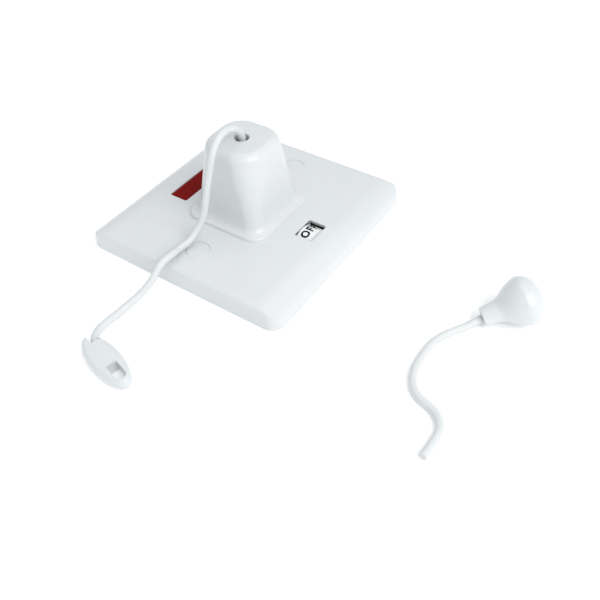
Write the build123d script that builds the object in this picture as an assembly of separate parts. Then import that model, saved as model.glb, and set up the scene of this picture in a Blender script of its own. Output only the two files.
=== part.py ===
from build123d import *
import math
import os

# Ceiling pull cord switch, in millimetres. The rim of the plate rests on z = 0 and +Z runs out of the
# tower, the way the cord leaves it. The origin is the middle of the plate at the rim. +X is towards
# the ON/OFF window, -X towards the neon lens, and the two fixing screws stand on the Y axis.

# Face plate
PLATE_SIDE = 86.0
PLATE_HEIGHT = 7.5
PLATE_WALL = 2.0
PLATE_CORNER_R = 5.0
UNDERSIDE = PLATE_HEIGHT - PLATE_WALL
ROLL_WIDTH = 9.8  # soft elliptical edge along the two X sides
ROLL_HEIGHT = 4.3
EDGE_WIDTH = 3.2  # small soft edge along the two Y sides
EDGE_HEIGHT = 1.3
SIDE_DRAFT = 0.4
FIXING_PITCH = 60.3  # the British standard distance between fixing screws
FIXING_HOLE_R = 2.1
FIXING_HEAD_R = 3.9
FIXING_SEAT_Z = 3.4
CAP_R = 4.35
CAP_THICK = 1.55
CAP_GAP = 0.1

# Tower
TOWER_TOP = 37.6
TOWER_TOP_HALF = 12.15
TOWER_CORNER_R = 9.0
TOWER_EDGE_R = 3.4
# The tower's foot, from inside the face up to the plain wall: height, half width, corner radius
FOOT = [
    (7.1, 17.5, 6.0), (8.2, 17.42, 6.0), (8.62, 17.1, 5.9), (8.86, 16.5, 5.8), (9.25, 15.75, 5.7),
    (10.0, 15.05, 5.6), (11.3, 14.45, 5.5), (13.5, 14.03, 5.5),
]
TOWER_CEILING = 35.2
HOLE_R = 2.6

# ON/OFF window and neon lens
WINDOW_X = (24.4, 31.9)
WINDOW_HALF_Y = 5.1
WINDOW_WALL = 0.45
LENS_X = (-30.5, -22.3)
LENS_HALF_Y = 10.7
LENS_FLANGE = 1.0

# Mechanism
BASE_Z = (0.6, 2.4)
BASE_HALF = (17.0, 22.0)
CHEEK_X = (8.4, 9.8)
CHEEK_HALF_Y = 7.6
CHEEK_TOP = 20.6
GUIDE_THICK = 1.6
SLIDING_GAP = 0.2
SHAFT_Z = 13.2
SHAFT_R = 1.5
RUNNING_GAP = 0.05
GEAR_MODULE = 0.8
PRESSURE_ANGLE = 25.0
BACKLASH = 0.12
TOOTH_ADDENDUM = 0.8 * GEAR_MODULE
TOOTH_DEDENDUM = 1.05 * GEAR_MODULE
DRIVE_TEETH = 10
INDICATOR_TEETH = 16
DRIVE_R = GEAR_MODULE * DRIVE_TEETH / 2
INDICATOR_R = GEAR_MODULE * INDICATOR_TEETH / 2
SLIDER_HALF = 3.9
SLIDER_Z = (18.6, 23.6)
LEG_HALF_X = 1.5
LEG_BACK_Y = -6.9
FERRULE_HEAD_Z = (18.9, 20.4)
FERRULE_R = 2.2
FERRULE_TOP = 30.0
SPRING_R = 3.1
SPRING_WIRE = 0.6
SPRING_TURNS = 6
CONTACT_X = 5.8
CONTACT_WIDTH = 3.2
BLADE_REACH = 6.2
BLADE_THICK = 0.8
PAWL_AT = 12.0
PAWL_THICK = 1.3
CONTACT_FACE_Y = 6.5
TERMINAL_Y = (13.5, 20.5)
TERMINAL_Z = (1.6, 5.3)
TERMINAL_WIDTH = 6.4
EARTH_AT = (-13.6, 0.0)
BASE_SCREW_AT = [(-15, -19), (-15, 19), (15, -19), (15, 19)]

# Indicator slide: one convex pad for each legend, a quarter turn of the pinion apart
PAD_PITCH = INDICATOR_R * math.pi / 2
PAD_LENGTH = 9.8
PAD_CROWN = 6.95
PAD_R = 9.0
PAD_X = (24.55, 31.6)
SLIDE_Z = (2.0, 4.2)
RACK_BAR_X = (10.3, 11.2)

# Cords, connector and knob
CORD_D = 2.6
CONNECTOR_AT = (5.1, -82.5)
CONNECTOR_TURN = -14.7
CONNECTOR_SIZE = (26.0, 9.9, 4.5)
CONNECTOR_NOTCH_U = -8.3
CONNECTOR_BORE_U = -5.8
CONNECTOR_BORE_V = 1.1
KNOB_MOUTH = (97.0, -2.6, 3.3)
KNOB_HEADING = 43.0
KNOB_TILT = 22.0
KNOB_LENGTH = 20.2
KNOB_BORE_R = 2.3
KNOB_BORE_DEPTH = 6.4
KNOB_KNOT_DEPTH = 3.0

# The cords' routes, point by point, ending in the connector's bore and on the knob's crimp
UPPER_ROUTE = [
    (0.0, 0.0, FERRULE_TOP), (0.2, 0.2, 34.8), (0.0, -0.1, 39.4), (-0.4, -3.8, 43.2), (-0.6, -9.0, 44.2),
    (-0.2, -13.9, 42.2), (0.1, -16.8, 38.7), (-0.4, -17.9, 34.3), (-1.0, -19.5, 28.9), (-1.4, -21.1, 22.8),
    (-2.0, -22.7, 16.9), (-3.3, -25.3, 12.3), (-3.7, -29.6, 9.7), (-4.5, -34.4, 9.4), (-3.7, -39.2, 10.5),
    (-4.5, -44.6, 10.1), (-4.2, -49.2, 6.8), (-5.4, -54.2, 3.6), (-6.9, -60.4, 1.9), (-7.5, -66.8, 1.4),
    (-7.9, -72.7, 1.45), (-6.4, -76.5, 1.9), (-3.72, -79.04, 2.25), (-0.24, -79.96, 2.25),
]
LOWER_ROUTE = [
    (99.5, -0.26, 4.15), (96.6, -3.1, 2.6), (94.1, -7.6, 1.5), (90.4, -12.8, 1.4), (87.7, -19.0, 1.4),
    (87.3, -26.1, 1.35), (87.8, -32.9, 1.35), (90.3, -38.5, 1.35), (94.3, -41.5, 1.35), (100.4, -42.8, 1.35),
    (104.3, -47.2, 1.35), (104.6, -53.1, 1.35), (104.1, -58.7, 1.35),
]


def save(name, shape):
    """Write one node."""
    export_step(shape, "parts/" + name + ".step")


def block(x, y, z):
    """A box from three (low, high) pairs."""
    size = [high - low for low, high in (x, y, z)]
    middle = [(low + high) / 2 for low, high in (x, y, z)]
    return Pos(*middle) * Box(*size)


def upright(x, y, z, radius):
    """A cylinder along Z between two heights."""
    return Pos(x, y, (z[0] + z[1]) / 2) * Cylinder(radius, z[1] - z[0])


def along_x(x, y, z, radius):
    """A cylinder along X between two stations."""
    return Pos((x[0] + x[1]) / 2, y, z) * Rot(0, 90, 0) * Cylinder(radius, x[1] - x[0])


def along_y(x, y, z, radius):
    """A cylinder along Y between two stations."""
    return Pos(x, (y[0] + y[1]) / 2, z) * Rot(90, 0, 0) * Cylinder(radius, y[1] - y[0])


def rounded(half_x, half_y, radius, z):
    """A flat rounded rectangle at a height."""
    return Pos(0, 0, z) * RectangleRounded(2 * half_x, 2 * half_y, radius)


def crowned(half, height, draft, width, drop):
    """Half section of a slab as a closed face: drafted side, then a quarter ellipse to the flat top."""
    lip = height - drop
    top = half - draft
    right = EllipticalCenterArc((top - width, lip), width, drop, start_angle=0, arc_size=90)
    left = EllipticalCenterArc((width - top, lip), width, drop, start_angle=90, arc_size=90)
    outline = [
        Line((-half, 0), (half, 0)), Line((half, 0), (top, lip)), right,
        Line((top - width, height), (width - top, height)), left, Line((-top, lip), (-half, 0)),
    ]
    return make_face(Wire(outline))


def slab(half, height, corner, x_edge, y_edge):
    """A square slab, open to boolean work, with one soft edge on the X sides and another on the Y sides."""
    across = Plane.XZ * crowned(half, height, SIDE_DRAFT, *x_edge)
    along = Plane.YZ * crowned(half, height, SIDE_DRAFT, *y_edge)
    body = extrude(across, half + 1, both=True) & extrude(along, half + 1, both=True)
    return body & extrude(rounded(half, half, corner, 0), height)


def front_plate():
    half = PLATE_SIDE / 2
    plate = slab(half, PLATE_HEIGHT, PLATE_CORNER_R, (ROLL_WIDTH, ROLL_HEIGHT), (EDGE_WIDTH, EDGE_HEIGHT))
    skirt = loft([rounded(half_width, half_width, radius, z) for z, half_width, radius in FOOT], ruled=True)
    shoulder, base_half, base_radius = FOOT[-1]
    tower = loft([rounded(base_half, base_half, base_radius, shoulder),
                  rounded(TOWER_TOP_HALF, TOWER_TOP_HALF, TOWER_CORNER_R, TOWER_TOP)], ruled=True)
    tower = fillet(tower.faces().sort_by(Axis.Z)[-1].edges(), TOWER_EDGE_R)
    shell = plate + skirt + tower
    shell -= slab(half - PLATE_WALL, UNDERSIDE, PLATE_CORNER_R - PLATE_WALL, (7.8, 2.6), (1.4, 0.8))
    shell -= loft([rounded(12.7, 12.7, 7.4, UNDERSIDE - 0.5),
                   rounded(10.0, 10.0, 7.0, TOWER_CEILING)], ruled=True)
    # Room for the indicator's rack and slide as they travel
    shell -= block((RACK_BAR_X[0] - 0.4, RACK_BAR_X[1] + 0.4), (-12.8, 12.8), (UNDERSIDE - 0.5, 7.75))
    shell -= block((23.3, 33.3), (-16.0, 16.0), (UNDERSIDE - 0.5, PLATE_HEIGHT - WINDOW_WALL))
    # Bosses for the fixing screws and for the base's own screws
    for side in (-1, 1):
        shell += upright(0, side * FIXING_PITCH / 2, (0, UNDERSIDE + 0.2), 5.6)
    for x, y in BASE_SCREW_AT:
        z = (BASE_Z[1], UNDERSIDE + 0.2)
        shell += upright(x, y, z, 2.6) - upright(x, y, z, 1.0)
    # Openings
    shell -= upright(0, 0, (TOWER_CEILING - 1, TOWER_TOP + 1), HOLE_R)
    rim = shell.edges().filter_by(GeomType.CIRCLE).filter_by(lambda e: abs(e.radius - HOLE_R) < 0.01)
    shell = fillet(rim.sort_by(Axis.Z)[-1], 0.45)
    window = Pos(sum(WINDOW_X) / 2, 0, UNDERSIDE) * RectangleRounded(
        WINDOW_X[1] - WINDOW_X[0], 2 * WINDOW_HALF_Y, 0.7)
    shell -= extrude(window, PLATE_WALL + 1)
    lens = Pos(sum(LENS_X) / 2, 0, UNDERSIDE - 0.5) * RectangleRounded(
        LENS_X[1] - LENS_X[0], 2 * LENS_HALF_Y, 0.9)
    shell -= extrude(lens, PLATE_WALL + 2)
    for side in (-1, 1):
        y = side * FIXING_PITCH / 2
        shell -= upright(0, y, (-1, FIXING_SEAT_Z + 1), FIXING_HOLE_R)
        shell -= upright(0, y, (FIXING_SEAT_Z, PLATE_HEIGHT), FIXING_HEAD_R)
        shell -= upright(0, y, (PLATE_HEIGHT - CAP_THICK, PLATE_HEIGHT + 1), CAP_R + CAP_GAP)
    return shell


def fixing_cap(y):
    """A press-in cap over one fixing screw: a disc with a hollow spigot."""
    top = upright(0, y, (PLATE_HEIGHT - CAP_THICK, PLATE_HEIGHT), CAP_R)
    top = fillet(top.edges().sort_by(Axis.Z)[-1], 0.25)
    spigot_z = (PLATE_HEIGHT - CAP_THICK - 1.2, PLATE_HEIGHT - CAP_THICK)
    spigot = upright(0, y, spigot_z, FIXING_HEAD_R - CAP_GAP) - upright(0, y, spigot_z, FIXING_HEAD_R - 0.9)
    return top + spigot


def neon_lens():
    gap = 0.08
    x = (LENS_X[0] + gap, LENS_X[1] - gap)
    middle = sum(LENS_X) / 2
    face = RectangleRounded(x[1] - x[0], 2 * (LENS_HALF_Y - gap), 0.85)
    body = extrude(Pos(middle, 0, UNDERSIDE) * face, PLATE_HEIGHT - 0.15 - UNDERSIDE)
    reach = LENS_HALF_Y + LENS_FLANGE
    flange = block((x[0] - LENS_FLANGE, x[1] + LENS_FLANGE), (-reach, reach), (UNDERSIDE - LENS_FLANGE, UNDERSIDE))
    return body + flange


def neon_carrier():
    """A shallow tray that clips the lamp and its resistor under the lens."""
    z = (0.7, UNDERSIDE - LENS_FLANGE)
    tray = block((-31.4, -21.4), (-12.0, 12.0), z) - block((-30.4, -22.4), (-11.0, 11.0), (1.3, z[1] + 1))
    for y in (-5.6, 5.6):
        tray += block((-30.4, -22.4), (y - 0.4, y + 0.4), (1.3, 2.9))
    tray -= along_y(-26.4, (-7, 7), 2.9, 1.7)
    # Notches in the wall for the two leads
    for y in (-8.6, 8.6):
        tray -= block((-22.6, -21.2), (y - 0.8, y + 0.8), (2.0, z[1] + 1))
    return tray


def neon_lamp():
    """A small glass discharge lamp lying along Y, with rounded ends."""
    tube = along_y(-26.4, (-5.0, 5.0), 2.9, 1.6)
    return fillet(tube.edges().filter_by(GeomType.CIRCLE), 1.2)


def neon_resistor():
    body = fillet(along_y(-29.3, (-3.4, 3.4), 2.4, 0.95).edges().filter_by(GeomType.CIRCLE), 0.3)
    return body


def tube_along(route, diameter, name):
    """A round cord along straight runs joined by the largest tangent arcs that the runs allow."""
    points = [Vector(*p) for p in route]
    radii = []
    for before, corner, after in zip(points, points[1:], points[2:]):
        turn = math.radians((corner - before).get_angle(after - corner))
        shorter = min((corner - before).length, (after - corner).length)
        radii.append(0.45 * shorter / math.tan(turn / 2))
    path = FilletPolyline(*points, radius=radii)
    start = Plane(origin=points[0], z_dir=points[1] - points[0])
    cord = sweep(start * Circle(diameter / 2), path=path)
    expected = math.pi * diameter ** 2 / 4 * path.length
    print(name, "length", round(path.length, 1), "radii", [round(r, 1) for r in radii])
    print(name, "volume over section times length", round(cord.volume / expected, 4))
    return cord


def involute_gear(teeth, width, bore, first_tooth):
    """A spur gear in the XY plane, from z = 0. first_tooth is one tooth's angle in degrees."""
    pitch_r = GEAR_MODULE * teeth / 2
    base_r = pitch_r * math.cos(math.radians(PRESSURE_ANGLE))
    outer_r = pitch_r + TOOTH_ADDENDUM
    root_r = pitch_r - TOOTH_DEDENDUM
    half_tooth = (math.pi * GEAR_MODULE / 2 - BACKLASH) / 2 / pitch_r

    def swing(radius):
        """Half the angle that a tooth fills at a radius, from the involute of the base circle."""
        def involute(angle):
            return math.tan(angle) - angle
        at_pitch = involute(math.radians(PRESSURE_ANGLE))
        here = involute(math.acos(min(1.0, base_r / radius)))
        return half_tooth + at_pitch - here

    steps = 5
    flank = [max(base_r, root_r) + (outer_r - max(base_r, root_r)) * i / steps for i in range(steps + 1)]
    outline = []
    for tooth in range(teeth):
        middle = math.radians(first_tooth) + 2 * math.pi * tooth / teeth
        rising = [(root_r, middle - swing(flank[0]))] + [(r, middle - swing(r)) for r in flank]
        falling = [(r, 2 * middle - a) for r, a in reversed(rising)]
        outline += [(r * math.cos(a), r * math.sin(a)) for r, a in rising + falling]
    return extrude(Polygon(*outline, align=None), width) - upright(0, 0, (-1, width + 1), bore)


def rack_teeth(first, last):
    """Rack teeth pointing up from the pitch line in the XY plane, with a space at x = 0."""
    pitch = math.pi * GEAR_MODULE
    lean = math.tan(math.radians(PRESSURE_ANGLE))
    half = (pitch / 2 - BACKLASH) / 2
    tip, root = TOOTH_ADDENDUM, -TOOTH_DEDENDUM
    foot = half - lean * root
    outline = [((first + 0.5) * pitch - foot - 0.15, root - 0.5)]
    for tooth in range(first, last):
        middle = (tooth + 0.5) * pitch
        outline += [(middle - foot, root), (middle - half + lean * tip, tip),
                    (middle + half - lean * tip, tip), (middle + foot, root)]
    outline.append(((last - 0.5) * pitch + foot + 0.15, root - 0.5))
    return Polygon(*reversed(outline), align=None)


def mechanism_base():
    """The moulding behind the plate: a floor, two cheeks with the shaft's bearings, and terminal seats."""
    floor = extrude(rounded(*BASE_HALF, 2.5, BASE_Z[0]), BASE_Z[1] - BASE_Z[0])
    for side in (-1, 1):
        x = sorted((side * CHEEK_X[0], side * CHEEK_X[1]))
        cheek = block(x, (-CHEEK_HALF_Y, CHEEK_HALF_Y), (BASE_Z[1], CHEEK_TOP))
        floor += cheek - along_x((x[0] - 1, x[1] + 1), 0, SHAFT_Z, SHAFT_R + RUNNING_GAP)
    gap = 0.1
    for x in (-CONTACT_X, CONTACT_X):
        for side in (-1, 1):
            y = sorted((side * (TERMINAL_Y[0] - gap), side * (TERMINAL_Y[1] + gap)))
            half = TERMINAL_WIDTH / 2 + gap
            floor -= block((x - half, x + half), y, (0, BASE_Z[1] + 1))
    floor -= block((EARTH_AT[0] - 2.6, EARTH_AT[0] + 2.6), (-3.1, 3.1), (0, BASE_Z[1] + 1))
    for x, y in BASE_SCREW_AT:
        floor -= upright(x, y, (0, BASE_Z[1] + 1), 1.15)
        floor -= upright(x, y, (0, BASE_Z[0] + 1.0), 2.1)
    return floor


def base_screws():
    """Four cross-head screws that hold the base to the plate."""
    screws = []
    for x, y in BASE_SCREW_AT:
        head = upright(x, y, (BASE_Z[0] + 0.1, BASE_Z[0] + 1.0), 1.9)
        slot = block((x - 1.2, x + 1.2), (y - 0.2, y + 0.2), (0, BASE_Z[0] + 0.5))
        slot += block((x - 0.2, x + 0.2), (y - 1.2, y + 1.2), (0, BASE_Z[0] + 0.5))
        screws.append(head - slot + upright(x, y, (BASE_Z[0] + 1.0, UNDERSIDE - 0.4), 1.0))
    return Compound(children=screws)


def slider_guide():
    """A bridge across the cheeks with the hole that the pull slider runs in."""
    guide = extrude(rounded(CHEEK_X[1], 8.4, 3.0, CHEEK_TOP), GUIDE_THICK)
    z = (CHEEK_TOP - 1, CHEEK_TOP + GUIDE_THICK + 1)
    half = SLIDER_HALF + SLIDING_GAP
    guide -= block((-half, half), (-half, half), z)
    half = LEG_HALF_X + SLIDING_GAP
    return guide - block((-half, half), (LEG_BACK_Y - SLIDING_GAP, 0), z)


def pull_slider():
    """The block on the cord's end, with a leg whose rack turns the drive pinion."""
    half = SLIDER_HALF
    body = block((-half, half), (-half, half), SLIDER_Z)
    body -= upright(0, 0, (SLIDER_Z[0] - 1, SLIDER_Z[1] + 1), FERRULE_R)
    body -= upright(0, 0, (SLIDER_Z[0] - 1, FERRULE_HEAD_Z[1]), 3.0)
    leg = (-LEG_HALF_X, LEG_HALF_X)
    body += block(leg, (LEG_BACK_Y, 0.1 - half), (SLIDER_Z[0], FERRULE_HEAD_Z[1]))
    body += block(leg, (LEG_BACK_Y, -DRIVE_R - TOOTH_DEDENDUM), (3.2, SLIDER_Z[0] + 0.1))
    # The teeth's own x runs down and their y runs towards the pinion
    face = Plane(origin=(-LEG_HALF_X, -DRIVE_R, SHAFT_Z), x_dir=(0, 0, -1), z_dir=(1, 0, 0))
    return body + extrude(face * rack_teeth(-1, 4), 2 * LEG_HALF_X)


def cord_ferrule():
    """The crimp that holds the cord in the slider: a head under the block, a neck up through the spring."""
    head = upright(0, 0, FERRULE_HEAD_Z, 2.9)
    neck = upright(0, 0, (FERRULE_HEAD_Z[1], FERRULE_TOP), FERRULE_R)
    return head + neck


def return_spring():
    """A compression spring between the slider and the tower's ceiling."""
    low = SLIDER_Z[1] + SPRING_WIRE / 2
    height = TOWER_CEILING - SLIDER_Z[1] - SPRING_WIRE
    helix = Pos(0, 0, low) * Helix(pitch=height / SPRING_TURNS, height=height, radius=SPRING_R)
    section = Plane(origin=helix @ 0, z_dir=helix % 0) * Circle(SPRING_WIRE / 2)
    return sweep(section, path=helix, is_frenet=True)


def drive_pinion():
    """The gear that the slider's rack turns. It runs loose on the rotor and carries the flip pawl."""
    gear = involute_gear(DRIVE_TEETH, 3.2, SHAFT_R + RUNNING_GAP, 180)
    return Plane(origin=(-1.6, 0, SHAFT_Z), x_dir=(0, 1, 0), z_dir=(1, 0, 0)) * gear


def flip_pawl():
    """A bistable finger on the pinion's side. It catches the wheel on alternate strokes of the slider."""
    ring = extrude(Circle(4.1) - Circle(3.4), PAWL_THICK)
    arc = ring & extrude(Polygon((0, 0), (8, 1.0), (8, 8), (1.0, 8), align=None), PAWL_THICK)
    tip = Rot(0, 0, PAWL_AT) * block((3.1, 3.7), (-0.4, 0.4), (0, PAWL_THICK))
    return Plane(origin=(-1.6 - PAWL_THICK, 0, SHAFT_Z), x_dir=(0, 1, 0), z_dir=(1, 0, 0)) * (arc + tip)


def cam_rotor():
    """The moulded shaft with a barrel for each contact blade."""
    body = along_x((-10.5, RACK_BAR_X[1]), 0, SHAFT_Z, SHAFT_R)
    for x in (-CONTACT_X, CONTACT_X):
        body += along_x((x - 2.3, x + 2.3), 0, SHAFT_Z, 3.4)
    for x in (-CONTACT_X, CONTACT_X):
        body -= block((x - CONTACT_WIDTH / 2, x + CONTACT_WIDTH / 2), (-BLADE_THICK / 2, BLADE_THICK / 2),
                      (SHAFT_Z - 4, SHAFT_Z + 4))
    return body


def moving_contact(x):
    """A brass blade through the rotor, upright when the switch is off."""
    blade = block((x - CONTACT_WIDTH / 2, x + CONTACT_WIDTH / 2), (-BLADE_THICK / 2, BLADE_THICK / 2),
                  (SHAFT_Z - BLADE_REACH, SHAFT_Z + BLADE_REACH))
    return fillet(blade.edges().filter_by(Axis.X), 0.3)


def catch_wheel():
    """The notched disc on the rotor that the pawl catches."""
    wheel = extrude(Circle(2.9), 1.1) - upright(0, 0, (-1, 2), SHAFT_R)
    wheel -= Rot(0, 0, PAWL_AT) * block((2.2, 3.5), (-0.6, 0.6), (-1, 2))
    return Plane(origin=(-3.15, 0, SHAFT_Z), x_dir=(0, 1, 0), z_dir=(1, 0, 0)) * wheel


def detent_star():
    """The square cam that the detent spring settles, pressed on the rotor."""
    star = extrude(RectangleRounded(4.8, 4.8, 0.8), 1.1) - upright(0, 0, (-1, 2), SHAFT_R)
    return Plane(origin=(2.0, 0, SHAFT_Z), x_dir=(0, 1, 0), z_dir=(1, 0, 0)) * star


def detent_spring():
    """A bent leaf on the base, under the detent star."""
    x = (1.95, 3.15)
    leaf = block(x, (-4.0, 5.4), (9.3, 9.7)) + block(x, (5.0, 5.4), (BASE_Z[1], 9.7))
    leaf += block(x, (3.0, 5.4), (BASE_Z[1], BASE_Z[1] + 0.4))
    return leaf


def indicator_pinion():
    gear = involute_gear(INDICATOR_TEETH, RACK_BAR_X[1] - RACK_BAR_X[0], SHAFT_R, -90)
    return Plane(origin=(RACK_BAR_X[0], 0, SHAFT_Z), x_dir=(0, 1, 0), z_dir=(1, 0, 0)) * gear


def shaft_clip():
    """The retaining ring outside the left cheek."""
    return along_x((-10.35, -9.9), 0, SHAFT_Z, 2.6) - along_x((-11, -9), 0, SHAFT_Z, SHAFT_R)


def indicator_slide():
    """The strip that shows OFF or ON: two convex pads, and a rack bar that the indicator pinion moves."""
    pitch_z = SHAFT_Z - INDICATOR_R
    face = Plane(origin=(RACK_BAR_X[0], 0, pitch_z), x_dir=(0, 1, 0), z_dir=(1, 0, 0))
    slide = extrude(face * rack_teeth(-1, 5), RACK_BAR_X[1] - RACK_BAR_X[0])
    slide += block(RACK_BAR_X, (-2.3, 12.3), (3.0, pitch_z - TOOTH_DEDENDUM))
    slide += block((RACK_BAR_X[0], 24.0), (0, 6.0), (3.0, SLIDE_Z[1]))
    slide += block((23.7, 32.7), (-5.3, PAD_PITCH + 5.1), SLIDE_Z)
    bevel = Polyline((29.4, 8.0), (34.0, 8.0), (34.0, 4.0), (29.4, PAD_CROWN), close=True)
    bevel = Plane.XZ * make_face(bevel)
    for y in (0, PAD_PITCH):
        crown = along_x(PAD_X, y, PAD_CROWN - PAD_R, PAD_R)
        crown &= block(PAD_X, (y - PAD_LENGTH / 2, y + PAD_LENGTH / 2), (SLIDE_Z[1] - 0.1, 8.0))
        slide += crown - extrude(bevel, 40, both=True)
    return slide


def indicator_track():
    """The channel that the slide runs in, held under the plate by two pegs."""
    track = block((22.6, 33.8), (-17.6, 17.6), (0.8, 1.7))
    track += block((22.6, 23.4), (-17.6, 17.6), (1.6, 2.5))
    track += block((33.0, 33.8), (-17.6, 17.6), (1.6, 5.3))
    for y in (-16.9, 16.9):
        track += upright(28.2, y, (1.6, UNDERSIDE), 0.6)
    return track


def fixed_contact(x, side):
    """A brass strip beside the rotor, its foot under one terminal."""
    half = CONTACT_WIDTH / 2
    tall = sorted((side * CONTACT_FACE_Y, side * (CONTACT_FACE_Y + 0.8)))
    foot = sorted((side * CONTACT_FACE_Y, side * TERMINAL_Y[0]))
    strip = block((x - half, x + half), tall, (BASE_Z[1], 16.6))
    return strip + block((x - half, x + half), foot, (BASE_Z[1], 3.2))


def terminal(x, side):
    """A brass tunnel terminal with a wire bore from outside and a tapped hole from behind."""
    y = sorted((side * TERMINAL_Y[0], side * TERMINAL_Y[1]))
    brass = block((x - TERMINAL_WIDTH / 2, x + TERMINAL_WIDTH / 2), y, TERMINAL_Z)
    bore = sorted((side * (TERMINAL_Y[0] + 1.6), side * (TERMINAL_Y[1] + 1)))
    brass -= along_y(x, bore, 3.7, 1.3)
    return brass - upright(x, side * 18.0, (0, 3.0), 1.2)


def earth_terminal():
    x, y = EARTH_AT
    brass = block((x - 2.5, x + 2.5), (y - 3.0, y + 3.0), TERMINAL_Z) - along_y(x, (y - 5, y + 5), 3.7, 1.2)
    return brass - upright(x, y, (0, 3.0), 1.2)


def terminal_screws():
    """Five slotted screws, one in each terminal, backed off for a wire."""
    screws = []
    places = [(x, side * 18.0) for x in (-CONTACT_X, CONTACT_X) for side in (-1, 1)] + [EARTH_AT]
    for x, y in places:
        head = upright(x, y, (0.65, TERMINAL_Z[0]), 2.0)
        head -= block((x - 2.5, x + 2.5), (y - 0.25, y + 0.25), (0, 1.1))
        screws.append(head + upright(x, y, (TERMINAL_Z[0], 2.3), 1.2))
    return Compound(children=screws)


def cord_connector():
    """The eye-shaped half of the cord connector: a notch for the upper cord, a slot for the lower one."""
    length, width, thick = CONNECTOR_SIZE
    eye = extrude(Ellipse(length / 2, width / 2), thick)
    eye = fillet(eye.edges(), 1.2)
    slot_end = 9.05
    through = (-1, thick + 1)
    eye -= block((3.6, slot_end), (-1.85, 1.85), through) + upright(slot_end, 0, through, 1.85)
    low, high = CONNECTOR_BORE_V - 1.45, CONNECTOR_BORE_V + 1.65
    notch = Polygon((CONNECTOR_NOTCH_U, low), (CONNECTOR_NOTCH_U, high), (-9.4, high),
                    (-10.2, 5), (-14, 5), (-14, low), align=None)
    eye -= extrude(Pos(0, 0, -1) * notch, thick + 2, dir=(0, 0, 1))
    eye -= along_x((CONNECTOR_NOTCH_U - 1, CONNECTOR_BORE_U), CONNECTOR_BORE_V, thick / 2, CORD_D / 2 + 0.1)
    return Pos(*CONNECTOR_AT, 0) * Rot(0, 0, CONNECTOR_TURN) * eye


def knob_place():
    """The knob's own frame: origin in its mouth, +Z towards its domed end."""
    tilt, heading = math.radians(KNOB_TILT), math.radians(KNOB_HEADING)
    axis = (math.cos(tilt) * math.cos(heading), math.cos(tilt) * math.sin(heading), math.sin(tilt))
    return Plane(origin=KNOB_MOUTH, z_dir=axis)


def pull_knob():
    """A flared knob: straight neck, trumpet flank and a low dome, bored from the neck."""
    flank = Spline((3.3, 0.3), (3.6, 3.4), (4.7, 6.9), (6.9, 10.0), (8.2, 12.4),
                   tangents=[(0.02, 1), (0.35, 1)])
    dome = Spline((8.2, 12.4), (8.45, 14.2), (7.1, 17.2), (4.2, 19.4), (0, KNOB_LENGTH),
                  tangents=[(0.35, 1), (-1, 0)])
    outline = [flank, dome, Line((0, KNOB_LENGTH), (0, 0)), Line((0, 0), (3.0, 0)),
               Line((3.0, 0), (3.3, 0.3))]
    solid = revolve(Plane.XZ * make_face(Wire(outline)), Axis.Z)
    solid -= upright(0, 0, (-1, KNOB_BORE_DEPTH), KNOB_BORE_R)
    return knob_place() * solid


def knob_knot():
    """The crimped end of the lower cord, at the bottom of the knob's bore."""
    return knob_place() * upright(0, 0, (KNOB_KNOT_DEPTH, KNOB_BORE_DEPTH), KNOB_BORE_R)


def main():
    os.makedirs("parts", exist_ok=True)
    save("front_plate", front_plate())
    save("fixing_cap_front", fixing_cap(-FIXING_PITCH / 2))
    save("fixing_cap_rear", fixing_cap(FIXING_PITCH / 2))
    save("neon_lens", neon_lens())
    save("neon_carrier", neon_carrier())
    save("neon_lamp", neon_lamp())
    save("neon_resistor", neon_resistor())
    save("mechanism_base", mechanism_base())
    save("base_screws", base_screws())
    save("slider_guide", slider_guide())
    save("pull_slider", pull_slider())
    save("cord_ferrule", cord_ferrule())
    save("return_spring", return_spring())
    save("drive_pinion", drive_pinion())
    save("flip_pawl", flip_pawl())
    save("cam_rotor", cam_rotor())
    save("catch_wheel", catch_wheel())
    save("detent_star", detent_star())
    save("detent_spring", detent_spring())
    save("indicator_pinion", indicator_pinion())
    save("shaft_clip", shaft_clip())
    save("indicator_slide", indicator_slide())
    save("indicator_track", indicator_track())
    for x, pole in ((-CONTACT_X, "line"), (CONTACT_X, "neutral")):
        save("moving_contact_" + pole, moving_contact(x))
        for side, end in ((-1, "in"), (1, "out")):
            save("fixed_contact_" + pole + "_" + end, fixed_contact(x, side))
            save("terminal_" + pole + "_" + end, terminal(x, side))
    save("earth_terminal", earth_terminal())
    save("terminal_screws", terminal_screws())
    save("upper_cord", tube_along(UPPER_ROUTE, CORD_D, "upper_cord"))
    save("cord_connector", cord_connector())
    save("lower_cord", tube_along(LOWER_ROUTE, CORD_D, "lower_cord"))
    save("pull_knob", pull_knob())
    save("knob_knot", knob_knot())


main()
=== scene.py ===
"""Dresses the ceiling pull cord switch: its plate, window, neon lens, cords, connector and knob.

Lengths in the classes are in millimetres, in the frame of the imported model: the rim of the plate rests on
z = 0, +Z runs out of the tower and +X is towards the ON/OFF window.
"""

import sys
import logging
import math
from dataclasses import dataclass, field
from enum import Enum

import bpy
import numpy as np
from mathutils import Matrix, Vector


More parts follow.
